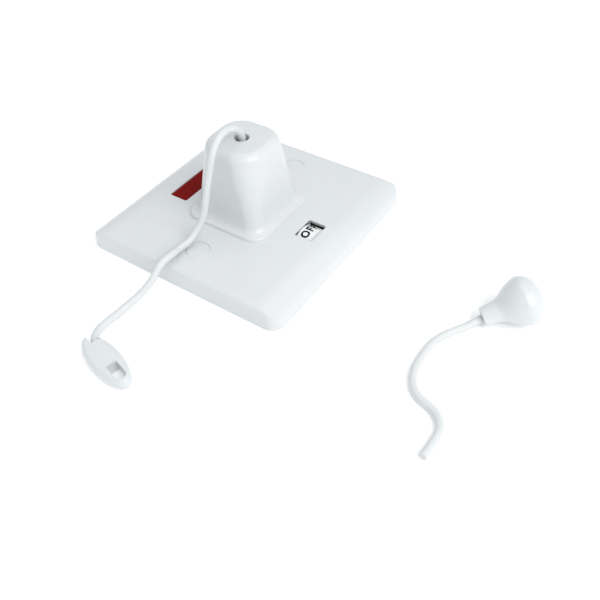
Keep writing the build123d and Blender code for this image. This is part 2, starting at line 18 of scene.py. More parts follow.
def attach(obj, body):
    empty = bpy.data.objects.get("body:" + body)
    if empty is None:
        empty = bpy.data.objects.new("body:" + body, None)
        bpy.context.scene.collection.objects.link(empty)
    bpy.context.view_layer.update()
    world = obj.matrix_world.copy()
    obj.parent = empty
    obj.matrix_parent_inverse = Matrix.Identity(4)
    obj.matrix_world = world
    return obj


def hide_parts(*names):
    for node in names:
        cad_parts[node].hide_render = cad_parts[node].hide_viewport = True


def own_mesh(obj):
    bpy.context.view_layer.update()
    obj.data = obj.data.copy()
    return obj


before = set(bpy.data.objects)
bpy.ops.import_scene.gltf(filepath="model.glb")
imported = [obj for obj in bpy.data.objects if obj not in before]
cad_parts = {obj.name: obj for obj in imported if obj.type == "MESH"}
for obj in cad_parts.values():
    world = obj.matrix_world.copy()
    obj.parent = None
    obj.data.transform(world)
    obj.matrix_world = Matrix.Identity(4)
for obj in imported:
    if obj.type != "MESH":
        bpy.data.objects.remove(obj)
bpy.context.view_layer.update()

MM = 0.001
SHARP_ANGLE = math.radians(34)
log = logging.getLogger("pull_cord_switch")

Colour = tuple[float, float, float]
Point = tuple[float, float, float]
Span = tuple[float, float]
Level = float | bpy.types.NodeSocket


class Cut(Enum):
    """How a tool shape changes the piece that it is applied to."""

    ADD = "UNION"
    REMOVE = "DIFFERENCE"


class Legend(Enum):
    """The words on the indicator's two pads."""

    OFF = "OFF"
    ON = "ON"


# Surfaces


def rounded_square(half: float | np.ndarray, radius: float | np.ndarray, flat: int = 22,
                   arc: int = 18) -> np.ndarray:
    """Points round a square with rounded corners.

    Each quarter is a straight run, at a constant distance from the middle, and then a quarter circle about
    the corner's centre, turned by 0, 90, 180 and 270 degrees.

    Args:
        half: half of the square's side, or an array of them.
        radius: the corner radius, or an array of them.
        flat: points on a straight run.
        arc: points on a corner.

    Returns:
        An array (stations, 4 * (flat + arc), 2).
    """
    half, radius = np.atleast_1d(half).astype(float), np.atleast_1d(radius).astype(float)
    run = np.linspace(-1, 1, flat, endpoint=False)
    turn = np.linspace(0, math.pi / 2, arc, endpoint=False)
    straight = (half - radius)[:, None]
    x = np.concatenate([np.repeat(half[:, None], flat, 1), straight + radius[:, None] * np.cos(turn)], 1)
    y = np.concatenate([straight * run, straight + radius[:, None] * np.sin(turn)], 1)
    quarters = [(x, y), (-y, x), (-x, -y), (y, -x)]
    return np.concatenate([np.stack(q, -1) for q in quarters], 1)


def circle(radius: float | np.ndarray, count: int = 64, start: float = 0.0) -> np.ndarray:
    """Points round circles about the origin.

    Args:
        radius: one radius or an array of them.
        count: points on each circle.
        start: the first point's angle in radians.

    Returns:
        An array (stations, count, 2).
    """
    angle = start + np.linspace(0, 2 * math.pi, count, endpoint=False)
    return np.atleast_1d(radius)[:, None, None] * np.stack([np.cos(angle), np.sin(angle)], -1)[None]


def lift(flat: np.ndarray, height: float | np.ndarray) -> np.ndarray:
    """Puts plan points at a height.

    Args:
        flat: an array (stations, around, 2).
        height: one height, one for each station, or one for each point.

    Returns:
        An array (stations, around, 3).
    """
    height = np.asarray(height, float)
    if height.ndim == 1:
        height = height[:, None]
    return np.concatenate([flat, np.broadcast_to(height, flat.shape[:2])[..., None]], -1)


def ring_mesh(name: str, rings: np.ndarray, joined: bool = False) -> bpy.types.Object:
    """Makes a closed piece from rings of points: four-sided faces between neighbours.

    Args:
        name: the piece's name.
        rings: an array (stations, around, 3) in millimetres, each ring closing on itself.
        joined: True where the last ring joins the first, False where a face closes each end.

    Returns:
        The new object, smooth shaded, its faces pointing outwards.
    """
    stations, around = rings.shape[:2]
    index = np.arange(stations * around).reshape(stations, around)
    lower = index if joined else index[:-1]
    upper = np.roll(index, -1, 0) if joined else index[1:]
    quads = np.stack([lower, np.roll(lower, -1, 1), np.roll(upper, -1, 1), upper], -1).reshape(-1, 4)
    points = rings.reshape(-1, 3) * MM
    a, b, c, d = (points[quads[:, i]] for i in range(4))
    middle = points.mean(0)
    outward = np.einsum("ij,ij->", np.cross(c - a, d - b), (a + b + c + d) / 4 - middle) > 0
    faces = quads.tolist()
    if not joined:
        faces += [index[0][::-1].tolist(), index[-1].tolist()]
    if not outward:
        faces = [face[::-1] for face in faces]
    mesh = bpy.data.meshes.new(name)
    mesh.from_pydata(points.tolist(), [], faces)
    return add_piece(name, mesh)


def add_piece(name: str, mesh: bpy.types.Mesh) -> bpy.types.Object:
    """Links a mesh to the scene under a name, smooth shaded between its sharp edges."""
    mesh.polygons.foreach_set("use_smooth", np.ones(len(mesh.polygons), bool))
    mesh.set_sharp_from_angle(angle=SHARP_ANGLE)
    piece = bpy.data.objects.new(name, mesh)
    bpy.context.scene.collection.objects.link(piece)
    return piece


def drum(x: float, y: float, z: Span, radius: float, count: int = 64) -> bpy.types.Object:
    """A plain upright cylinder, used as a tool for cutting and joining."""
    return ring_mesh("tool", lift(np.repeat(circle(radius, count), 2, 0), np.array(z)) + (x, y, 0))


def brick(x: Span, y: Span, z: Span, corner: float = 0.0) -> bpy.types.Object:
    """An upright block with rounded corners, used as a tool.

    Args:
        x: its two ends along X.
        y: its two ends along Y.
        z: its two ends along Z.
        corner: the radius of its upright edges, or 0 for square ones.

    Returns:
        The block.
    """
    half = np.array([x[1] - x[0], y[1] - y[0]]) / 2
    if corner > 0:
        ring = rounded_square(1.0, 1.0, flat=1, arc=8)[0] * corner
        ring = ring + np.sign(ring + 1e-9) * (half - corner)
    else:
        ring = np.array([(1, -1), (1, 1), (-1, 1), (-1, -1)]) * half
    ring = ring + (np.array([x[0], y[0]]) + half)
    return ring_mesh("tool", lift(np.stack([ring, ring]), np.array(z)))


def reshape(piece: bpy.types.Object, steps: list[tuple[Cut, bpy.types.Object]]) -> None:
    """Adds and removes tool shapes, and keeps the result as the piece's own mesh.

    Args:
        piece: the piece to change.
        steps: each tool with how it is applied, in order. The tools are removed.
    """
    for how, tool in steps:
        change = piece.modifiers.new(how.name.lower(), "BOOLEAN")
        change.operation, change.object, change.solver = how.value, tool, "EXACT"
    graph = bpy.context.evaluated_depsgraph_get()
    mesh = bpy.data.meshes.new_from_object(piece.evaluated_get(graph))
    piece.modifiers.clear()
    piece.data = mesh
    mesh.materials.clear()
    mesh.polygons.foreach_set("use_smooth", np.ones(len(mesh.polygons), bool))
    mesh.set_sharp_from_angle(angle=SHARP_ANGLE)
    for _, tool in steps:
        bpy.data.objects.remove(tool)


def soften(piece: bpy.types.Object, width: float, segments: int = 3) -> None:
    """Rounds a piece's sharp edges a little and lets its flat faces shade flat.

    Args:
        piece: the piece to finish.
        width: the width of the round in millimetres.
        segments: how many steps the round has.
    """
    if width > 0:
        bevel = piece.modifiers.new("edge", "BEVEL")
        bevel.width, bevel.segments, bevel.limit_method = width * MM, segments, "ANGLE"
        bevel.angle_limit, bevel.harden_normals = math.radians(40), False
    even = piece.modifiers.new("even", "WEIGHTED_NORMAL")
    even.keep_sharp, even.weight = True, 80


# Finishes


class Tree:
    """A small hand for wiring shader nodes."""

    def __init__(self, tree: bpy.types.NodeTree) -> None:
        """Holds the node tree to wire."""
        self.tree = tree

    def add(self, kind: str, settings: dict | None = None, **sockets: object) -> bpy.types.Node:
        """Adds a node and sets or links its inputs.

        Args:
            kind: the node's type.
            settings: its properties by name.
            sockets: its inputs by name, spaces written as underscores, or by number after an i. A socket is
                linked, a value is set.

        Returns:
            The node.
        """
        node = self.tree.nodes.new(kind)
        for key, value in (settings or {}).items():
            setattr(node, key, value)
        for key, value in sockets.items():
            numbered = key[0] == "i" and key[1:].isdigit()
            place = node.inputs[int(key[1:]) if numbered else key.replace("_", " ")]
            if isinstance(value, bpy.types.NodeSocket):
                self.tree.links.new(value, place)
            else:
                place.default_value = value
        return node

    def noise(self, where: bpy.types.NodeSocket, scale: float, detail: float = 3.0,
              roughness: float = 0.5) -> bpy.types.NodeSocket:
        """Adds a noise texture and returns its grey output."""
        node = self.add("ShaderNodeTexNoise", Vector=where, Scale=scale, Detail=detail, Roughness=roughness)
        return node.outputs["Fac"]

    def join(self, source: bpy.types.NodeSocket, target: bpy.types.NodeSocket) -> None:
        """Links one socket to another."""
        self.tree.links.new(source, target)

    def spread(self, value: bpy.types.NodeSocket, low: Level, high: Level, start: float = 0.3,
               end: float = 0.7) -> bpy.types.NodeSocket:
        """Maps a value from one range to another, held at its ends."""
        node = self.add("ShaderNodeMapRange", {"clamp": True}, Value=value, From_Min=start, From_Max=end,
                        To_Min=low, To_Max=high)
        return node.outputs["Result"]


def new_group(name: str, inputs: dict[str, tuple[str, object]]) -> tuple[Tree, dict, dict]:
    """Makes a shader node group with named inputs, and Colour, Roughness and Height outputs.

    Args:
        name: the group's name.
        inputs: each input's kind and default.

    Returns:
        The wiring hand, the group's input sockets and its output sockets.
    """
    group = bpy.data.node_groups.new(name, "ShaderNodeTree")
    for key, (kind, value) in inputs.items():
        group.interface.new_socket(key, in_out="INPUT", socket_type="NodeSocket" + kind).default_value = value
    for key, kind in {"Colour": "Color", "Roughness": "Float", "Height": "Float"}.items():
        group.interface.new_socket(key, in_out="OUTPUT", socket_type="NodeSocket" + kind)
    tree = Tree(group)
    return tree, tree.add("NodeGroupInput").outputs, tree.add("NodeGroupOutput").inputs


def moulded_group() -> bpy.types.NodeTree:
    """Builds the skin of a moulded piece.

    Slow clouds of tone, a slight yellowing in wide patches, a fine grain that raises the surface, and faint
    rub marks, stretched along one axis, that dull it.

    Returns:
        The node group, with Colour, Roughness and Height outputs.
    """
    inputs = {"Colour": ("Color", (0.8, 0.8, 0.8, 1)), "Age colour": ("Color", (0.8, 0.78, 0.72, 1)),
              "Age": ("Float", 0.2), "Grain size": ("Float", 900.0), "Dull": ("Float", 0.4),
              "Bright": ("Float", 0.3)}
    tree, given, out = new_group("moulded skin", inputs)
    where = tree.add("ShaderNodeTexCoord").outputs["Object"]
    clouds = tree.noise(where, 38.0, 4.0, 0.55)
    patches = tree.noise(where, 15.0, 2.0, 0.5)
    shade = tree.add("ShaderNodeHueSaturation", Color=given["Colour"], Value=tree.spread(clouds, 0.975, 1.02))
    age = tree.add("ShaderNodeMath", {"operation": "MULTIPLY"}, i0=tree.spread(patches, 0.0, 1.0),
                   i1=given["Age"])
    blend = tree.add("ShaderNodeMix", {"data_type": "RGBA"}, Factor=age.outputs[0],
                     i6=shade.outputs["Color"], i7=given["Age colour"])
    stretch = tree.add("ShaderNodeMapping", Vector=where, Scale=(420.0, 60.0, 260.0),
                       Rotation=(0.2, 0.1, 0.6))
    rubs = tree.noise(stretch.outputs["Vector"], 1.0, 5.0, 0.65)
    rough = tree.spread(rubs, given["Bright"], given["Dull"], 0.35, 0.75)
    grain = tree.add("ShaderNodeTexNoise", Vector=where, Scale=given["Grain size"], Detail=2.0)
    waves = tree.noise(where, 120.0, 2.0, 0.4)
    height = tree.add("ShaderNodeMath", {"operation": "MULTIPLY_ADD"}, i0=waves, i1=1.4,
                      i2=grain.outputs["Fac"])
    tree.join(blend.outputs[2], out["Colour"])
    tree.join(rough, out["Roughness"])
    tree.join(height.outputs[0], out["Height"])
    return tree.tree


def metal_group() -> bpy.types.NodeTree:
    """Builds the skin of a stamped or turned metal piece.

    Fine lines along one axis, cloudy tarnish that darkens and dulls, and a height from the lines.

    Returns:
        The node group, with Colour, Roughness and Height outputs.
    """
    inputs = {"Colour": ("Color", (0.8, 0.7, 0.4, 1)), "Tarnish": ("Color", (0.4, 0.3, 0.2, 1)),
              "Dull": ("Float", 0.5), "Bright": ("Float", 0.2)}
    tree, given, out = new_group("worked metal", inputs)
    where = tree.add("ShaderNodeTexCoord").outputs["Object"]
    stretch = tree.add("ShaderNodeMapping", Vector=where, Scale=(300.0, 2600.0, 2600.0))
    lines = tree.noise(stretch.outputs["Vector"], 1.0, 2.0, 0.6)
    clouds = tree.noise(where, 260.0, 4.0, 0.6)
    blend = tree.add("ShaderNodeMix", {"data_type": "RGBA"}, Factor=tree.spread(clouds, 0.0, 0.7, 0.45, 0.8),
                     i6=given["Colour"], i7=given["Tarnish"])
    tree.join(blend.outputs[2], out["Colour"])
    tree.join(tree.spread(clouds, given["Bright"], given["Dull"]), out["Roughness"])
    tree.join(lines, out["Height"])
    return tree.tree


@dataclass(frozen=True)
class Finish:
    """One finish: a name, a colour and how rough it is, over a shared skin group."""

    name: str
    colour: Colour
    bright: float = 0.3
    dull: float = 0.42
    bump: float = 0.02

    def start(self, group: bpy.types.NodeTree) -> tuple[bpy.types.Material, bpy.types.Node, bpy.types.Node]:
        """Makes the material with its skin wired to colour, roughness and normal.

        Args:
            group: the skin's node group.

        Returns:
            The material, the skin node and the Principled shader.
        """
        material = bpy.data.materials.new(self.name)
        material.use_nodes = True
        material.diffuse_color = (*self.colour, 1.0)
        tree = Tree(material.node_tree)
        shader = material.node_tree.nodes["Principled BSDF"]
        skin = tree.add("ShaderNodeGroup", {"node_tree": group})
        skin.inputs["Colour"].default_value = (*self.colour, 1.0)
        skin.inputs["Bright"].default_value = self.bright
        skin.inputs["Dull"].default_value = self.dull
        bump = tree.add("ShaderNodeBump", Strength=1.0, Distance=self.bump * MM,
                        Height=skin.outputs["Height"])
        tree.join(skin.outputs["Colour"], shader.inputs["Base Color"])
        tree.join(skin.outputs["Roughness"], shader.inputs["Roughness"])
        tree.join(bump.outputs["Normal"], shader.inputs["Normal"])
        return material, skin, shader


@dataclass(frozen=True)
class Moulded(Finish):
    """A moulded plastic: clouds, age, grain and rub marks over a clear, slightly glossy surface."""

    age: float = 0.15
    age_colour: Colour = (0.72, 0.70, 0.62)
    grain: float = 900.0
    coat: float = 0.15
    shine: float = 0.5

    def build(self, group: bpy.types.NodeTree) -> bpy.types.Material:
        """Makes the material on the moulded skin group."""
        material, skin, shader = self.start(group)
        skin.inputs["Age colour"].default_value = (*self.age_colour, 1.0)
        skin.inputs["Age"].default_value = self.age
        skin.inputs["Grain size"].default_value = self.grain
        shader.inputs["IOR"].default_value = 1.49
        shader.inputs["Specular IOR Level"].default_value = self.shine
        shader.inputs["Coat Weight"].default_value = self.coat
        shader.inputs["Coat Roughness"].default_value = 0.12
        return material


@dataclass(frozen=True)
class Metal(Finish):
    """A bare metal with lines from working it and a little tarnish."""

    tarnish: Colour = (0.35, 0.25, 0.12)

    def build(self, group: bpy.types.NodeTree) -> bpy.types.Material:
        """Makes the material on the worked metal group."""
        material, skin, shader = self.start(group)
        skin.inputs["Tarnish"].default_value = (*self.tarnish, 1.0)
        shader.inputs["Metallic"].default_value = 1.0
        return material


@dataclass(frozen=True)
class Glass:
    """Clear lamp glass with a faint warm tint."""

    name: str
    colour: Colour
    roughness: float = 0.05

    def build(self) -> bpy.types.Material:
        """Makes the material: transmission, with a slow waviness in the normal."""
        material = bpy.data.materials.new(self.name)
        material.use_nodes = True
        tree = Tree(material.node_tree)
        shader = material.node_tree.nodes["Principled BSDF"]
        where = tree.add("ShaderNodeTexCoord").outputs["Object"]
        tint = tree.add("ShaderNodeHueSaturation", Color=(*self.colour, 1.0),
                        Value=tree.spread(tree.noise(where, 300.0), 0.9, 1.0))
        bump = tree.add("ShaderNodeBump", Strength=0.5, Distance=0.02 * MM,
                        Height=tree.noise(where, 500.0, 1.0))
        tree.join(tint.outputs["Color"], shader.inputs["Base Color"])
        tree.join(bump.outputs["Normal"], shader.inputs["Normal"])
        shader.inputs["Transmission Weight"].default_value = 0.9
        shader.inputs["Roughness"].default_value = self.roughness
        shader.inputs["IOR"].default_value = 1.5
        return material


class Palette:
    """Every finish on the switch, made once, and the CAD nodes that take each one."""

    def __init__(self) -> None:
        """Builds the two shared groups and all the materials."""
        moulded, metal = moulded_group(), metal_group()
        plastics = [
            Moulded("plate white", (0.655, 0.675, 0.69), 0.30, 0.36, 0.004, age=0.05, coat=0.25),
            Moulded("cap white", (0.65, 0.67, 0.685), 0.32, 0.38, 0.004, age=0.05, coat=0.2),
            Moulded("knob white", (0.67, 0.695, 0.71), 0.28, 0.34, 0.003, age=0.04, coat=0.12),
            Moulded("connector white", (0.67, 0.695, 0.71), 0.30, 0.40, 0.004, age=0.05, coat=0.15),
            Moulded("pad white", (0.76, 0.77, 0.775), 0.16, 0.30, 0.004, age=0.04, coat=0.5),
            Moulded("legend black", (0.006, 0.006, 0.007), 0.5, 0.6, 0.002, age=0.0, coat=0.0, shine=0.08),
            Moulded("cord white", (0.65, 0.675, 0.69), 0.40, 0.55, 0.02, age=0.14, grain=1500.0, coat=0.05),
            Moulded("lens red", (0.205, 0.004, 0.003), 0.30, 0.42, 0.003, age=0.2,
                    age_colour=(0.30, 0.012, 0.007), coat=0.0, shine=0.08),
            Moulded("base cream", (0.60, 0.58, 0.50), 0.45, 0.62, 0.03, age=0.3,
                    age_colour=(0.45, 0.38, 0.26)),
            Moulded("acetal", (0.78, 0.78, 0.73), 0.30, 0.45, 0.012, age=0.2),
            Moulded("rotor grey", (0.055, 0.058, 0.065), 0.35, 0.55, 0.02, age=0.1,
                    age_colour=(0.08, 0.08, 0.08)),
            Moulded("lacquer", (0.50, 0.36, 0.17), 0.2, 0.35, 0.01, age=0.3,
                    age_colour=(0.35, 0.2, 0.08), coat=0.5),
        ]
        metals = [
            Metal("brass", (0.78, 0.57, 0.26), 0.18, 0.38, 0.006, tarnish=(0.42, 0.26, 0.10)),
            Metal("zinc plate", (0.68, 0.69, 0.71), 0.22, 0.42, 0.008, tarnish=(0.40, 0.40, 0.40)),
            Metal("spring steel", (0.52, 0.53, 0.55), 0.24, 0.40, 0.006, tarnish=(0.25, 0.24, 0.24)),
        ]
        self.materials = {f.name: f.build(moulded) for f in plastics}
        self.materials |= {f.name: f.build(metal) for f in metals}
        self.materials["lamp glass"] = Glass("lamp glass", (0.98, 0.90, 0.82)).build()
        self.nodes = {
            "cap white": ["fixing_cap_front", "fixing_cap_rear"],
            "base cream": ["mechanism_base", "slider_guide", "neon_carrier", "indicator_track"],
            "acetal": ["pull_slider", "drive_pinion", "detent_star", "indicator_pinion"],
            "rotor grey": ["cam_rotor", "flip_pawl"],
            # The slide's black shows past the white pad faces as painted shade along the window's +Y edge.
            "legend black": ["indicator_slide"],
            "lacquer": ["neon_resistor"],
            "lamp glass": ["neon_lamp"],
            "zinc plate": ["base_screws", "terminal_screws"],
            "spring steel": ["return_spring", "detent_spring", "shaft_clip"],
            "brass": ["cord_ferrule", "catch_wheel", "earth_terminal", "knob_knot"]
            + [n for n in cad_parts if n.startswith(("moving_contact", "fixed_contact", "terminal_line",
                                                          "terminal_neutral"))],
        }

    def dress(self, piece: bpy.types.Object, finish: str) -> None:
        """Gives a piece one finish."""
        piece.data.materials.clear()
        piece.data.materials.append(self.materials[finish])

    def dress_nodes(self) -> None:
        """Gives the CAD nodes that show their finishes."""
        for finish, names in self.nodes.items():
            for name in names:
                self.dress(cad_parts[name], finish)
            log.info("%s on %s", finish, ", ".join(names))


# The switch


@dataclass
class FacePlate:
    """The white moulding: a square plate that turns up into a hollow rounded-square tower."""

    half: float = 43.0
    height: float = 7.5
    wall: float = 2.0
    corner: float = 5.0
    draft: float = 0.4
    roll: Span = (9.8, 4.3)
    edge: Span = (3.2, 1.3)
    inner_roll: Span = (7.8, 2.6)
    inner_edge: Span = (1.4, 0.8)
    tower_top: float = 37.6
    tower_edge: float = 3.4
    tower_corner: Span = (5.5, 9.0)
    tower_half: Span = (14.03, 12.15)
    tower_foot: float = 13.5
    ceiling: float = 35.2
    hole: float = 2.6
    lip: float = 0.45
    fixing: float = 30.15
    fixing_boss: float = 5.6
    screw_hole: float = 2.1
    screw_head: float = 3.9
    cap_recess: float = 4.4
    foot_at: Span = (15, 19)
    foot_boss: float = 2.6
    foot_bore: float = 1.0
    rack_room: tuple[Span, Span, Span] = ((9.9, 11.6), (-12.8, 12.8), (4.5, 7.75))
    slide_room: tuple[Span, Span, Span] = ((23.3, 33.3), (-16.0, 16.0), (4.5, 7.05))
    window: tuple[float, float, float] = (24.4, 31.9, 5.1)
    lens: tuple[float, float, float] = (-30.5, -22.3, 10.7)

    def crown(self, plan: np.ndarray, half: float, top: float, roll: Span, edge: Span) -> np.ndarray:
        """The height of a slab's top over plan points.

        Along each axis the top is flat and then falls as a quarter ellipse of the given width and drop to the
        slab's edge. The lower of the two counts, with the crease between them rounded.

        Args:
            plan: an array (..., 2).
            half: half of the slab's side at its lip.
            top: the flat top's height.
            roll: the ellipse's width and drop along X.
            edge: the same along Y.

        Returns:
            The heights, one for each point.
        """
        falls = []
        for axis, (width, drop) in enumerate((roll, edge)):
            reach = np.clip((np.abs(plan[..., axis]) - (half - width)) / width, 0, 1)
            falls.append(drop * (1 - np.sqrt(1 - reach ** 2)))
        deeper, other = np.maximum(*falls), np.minimum(*falls)
        return top - deeper - 0.25 * other * np.exp(-2.0 * (deeper - other))

    def outside(self) -> list[np.ndarray]:
        """Rings from the rim up the side, over the face, up the tower and to the hole."""
        lip = self.half - self.draft
        step = np.linspace(0, 1, 6)
        side = rounded_square(self.half - self.draft * step, self.corner - self.draft * step)
        crest = self.crown(side[-1], lip, self.height, self.roll, self.edge)
        rings = [lift(side, step[:, None] * crest[None])]
        inset = 11.0 * np.linspace(0, 1, 44)[1:] ** 2
        face = rounded_square(lip - inset, np.full_like(inset, self.corner - self.draft))
        rings.append(lift(face, self.crown(face, lip, self.height, self.roll, self.edge)))
        # Across the flat face, up the foot's low rounded step, and in along a hollow flare to the wall
        half = np.array([25.0, 20.0, 18.3, 17.78, 17.6, 17.52, 17.47, 17.38, 17.2, 16.94, 16.6, 16.25, 15.95,
                         15.65, 15.32, 15.02, 14.76, 14.54, 14.36, 14.22, 14.11])
        rise = np.array([0, 0, 0, 0.02, 0.08, 0.25, 0.6, 0.9, 1.14, 1.28, 1.34, 1.42, 1.56, 1.78,
                         2.06, 2.43, 2.9, 3.5, 4.2, 4.9, 5.5])
        rings.append(lift(rounded_square(half, np.interp(half, [14.1, 17.5, 25.0], [5.5, 6.0, 7.0])),
                          self.height + rise))
        turn = np.linspace(0, math.pi / 2, 12)
        low, high = self.tower_half
        climb = np.array([0.0, 0.03, 0.3, 0.6, 0.9, 0.97])
        shoulder = self.tower_top - self.tower_edge
        wall = rounded_square(low + (high - low) * climb, np.interp(climb, [0, 1], self.tower_corner))
        rings.append(lift(wall, self.tower_foot + (shoulder - self.tower_foot) * climb))
        edge = self.tower_edge * (1 - np.cos(turn))
        rings.append(lift(rounded_square(high - edge, self.tower_corner[1] - edge),
                          shoulder + self.tower_edge * np.sin(turn)))
        return rings

    def mouth(self, edge: np.ndarray) -> list[np.ndarray]:
        """Rings from the tower's top edge to its hole, over the hole's rounded lip and down through the roof.

        Args:
            edge: the plan points of the top edge's last ring, whose directions the round rings share.

        Returns:
            The rings.
        """
        way = edge / np.linalg.norm(edge, axis=-1, keepdims=True)
        round_top = way[None] * (self.hole + self.lip)
        share = np.array([0.25, 0.5, 0.75, 0.92])[:, None, None]
        rings = [lift(edge[None] * (1 - share) + round_top * share, self.tower_top)]
        turn = np.linspace(0, math.pi / 2, 7)
        lip = way[None] * (self.hole + self.lip * (1 - np.sin(turn)))[:, None, None]
        rings.append(lift(lip, self.tower_top - self.lip * (1 - np.cos(turn))))
        rings.append(lift(way[None] * self.hole, self.ceiling))
        return rings

    def inside(self) -> list[np.ndarray]:
        """Rings from the roof's underside down the tower, under the face and down to the rim."""
        under = self.height - self.wall
        share = np.linspace(0, 1, 7)
        core = rounded_square(10.0 + 2.66 * share, 7.0 + 0.4 * share)
        rings = [lift(core, self.ceiling + (under - self.ceiling) * share)]
        lip = self.half - self.wall - self.draft
        inset = np.concatenate([[24.0, 14.0], 8.6 * np.linspace(1, 0, 22) ** 2])
        face = rounded_square(lip - inset, np.full_like(inset, 2.7))
        rings.append(lift(face, self.crown(face, lip, under, self.inner_roll, self.inner_edge)))
        crest = rings[-1][-1, :, 2]
        share = np.array([0.66, 0.33, 0.0])
        side = rounded_square(lip + self.draft * (1 - share), np.full(3, 3.0))
        rings.append(lift(side, share[:, None] * crest[None]))
        return rings

    def openings(self) -> list[tuple[Cut, bpy.types.Object]]:
        """The bosses behind the face, then everything that is cut from the moulding."""
        under = self.height - self.wall
        steps = [(Cut.ADD, drum(0, side * self.fixing, (0, under + 0.5), self.fixing_boss))
                 for side in (-1, 1)]
        feet = [(x * self.foot_at[0], y * self.foot_at[1]) for x in (-1, 1) for y in (-1, 1)]
        steps += [(Cut.ADD, drum(x, y, (2.4, under + 0.5), self.foot_boss, 40)) for x, y in feet]
        steps += [(Cut.REMOVE, drum(x, y, (1.0, under - 0.1), self.foot_bore, 32)) for x, y in feet]
        for side in (-1, 1):
            y = side * self.fixing
            steps.append((Cut.REMOVE, drum(0, y, (-1, 4.4), self.screw_hole, 48)))
            steps.append((Cut.REMOVE, drum(0, y, (3.4, 6.4), self.screw_head)))
            steps.append((Cut.REMOVE, drum(0, y, (5.95, 9.0), self.cap_recess, 96)))
        steps += [(Cut.REMOVE, brick(*room)) for room in (self.rack_room, self.slide_room)]
        for (low, high, reach), corner in ((self.window, 0.7), (self.lens, 0.9)):
            steps.append((Cut.REMOVE, brick((low, high), (-reach, reach), (4.5, 9.0), corner)))
        return steps

    def build(self, palette: Palette) -> bpy.types.Object:
        """Makes the moulding, which stands for the CAD plate.

        Args:
            palette: the finishes.

        Returns:
            The piece.
        """
        outside = self.outside()
        rings = outside + self.mouth(outside[-1][-1, :, :2]) + self.inside()
        plate = ring_mesh("front_moulding", np.concatenate(rings), joined=True)
        reshape(plate, self.openings())
        soften(plate, 0.12, 2)
        palette.dress(plate, "plate white")
        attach(plate, "root")
        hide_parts("front_plate")
        return plate


@dataclass
class NeonLens:
    """The red lens: a block with a flange behind the face, and fine ribs along its length."""

    x: Span = (-30.42, -22.38)
    reach: float = 10.62
    flange: float = 1.0
    top: float = 7.06
    ribs: int = 9
    rib_height: float = 0.29

    def build(self, palette: Palette) -> bpy.types.Object:
        """Makes the lens, which stands for the CAD one.

        The top is a grid whose height is a row of half waves across X, faded to nothing at both ends along Y.

        Args:
            palette: the finishes.

        Returns:
            The piece.
        """
        body = brick(self.x, (-self.reach, self.reach), (5.45, self.top), 0.85)
        body.name = "neon_window"
        low, high = self.x[0] - self.flange, self.x[1] + self.flange
        end = self.reach + self.flange
        steps = [(Cut.ADD, brick((low, high), (-end, end), (4.5, 5.5), 1.2))]
        pitch = (self.x[1] - self.x[0] - 0.9) / self.ribs
        turn = np.linspace(0, 2 * math.pi, 24, endpoint=False)
        along = np.linspace(-1, 1, 41)
        for rib in range(self.ribs):
            middle = self.x[0] + 0.45 + pitch * (rib + 0.5)
            size = np.sqrt(np.clip(1 - np.abs(along) ** 24, 1e-4, 1))[:, None]
            x = middle + 0.46 * pitch * np.cos(turn)[None] * size
            z = self.top + self.rib_height * np.sin(turn)[None] * size
            y = np.broadcast_to((along * (self.reach - 0.5))[:, None], x.shape)
            steps.append((Cut.ADD, ring_mesh("tool", np.stack([x, y, z], -1))))
        reshape(body, steps)
        soften(body, 0.0)
        palette.dress(body, "lens red")
        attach(body, "root")
        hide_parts("neon_lens")
        return body


